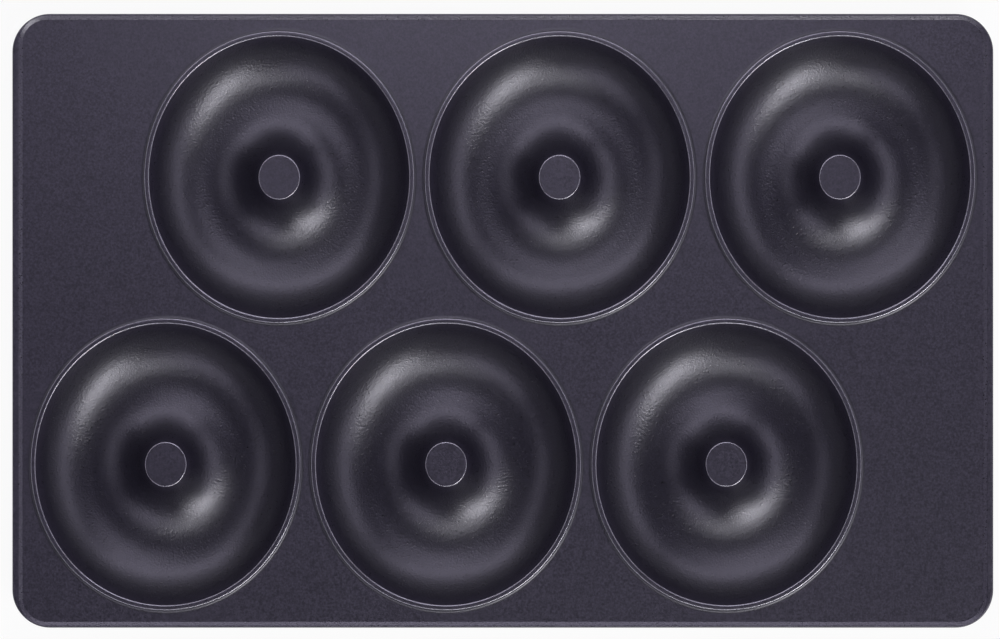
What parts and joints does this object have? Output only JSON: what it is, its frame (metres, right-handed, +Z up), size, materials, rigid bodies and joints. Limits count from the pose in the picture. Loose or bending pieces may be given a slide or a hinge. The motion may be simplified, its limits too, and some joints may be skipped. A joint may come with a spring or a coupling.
{
  "type": "donut maker baking plate",
  "caption": "Removable non-stick baking plate for ring cakes: staggered round moulds with centre posts, raised beads and a raised border.",
  "frame": {"origin": "centre of the bounding box in plan, at the level of the flat contact rings under the moulds", "axes": "+X along the long side, towards the end the back row is shifted to; +Y towards the back long side; +Z up out of the cooking face"},
  "size_m": [0.2452, 0.1534, 0.0128],
  "materials": {
    "cast_aluminium": "as cast, fine satin",
    "nonstick_film": "satin non-stick, dark violet grey with a fine speckle"
  },
  "bodies": {
    "root": {"plate_casting": "cast_aluminium", "cooking_face_coating": "nonstick_film"}
  },
  "joints": []
}
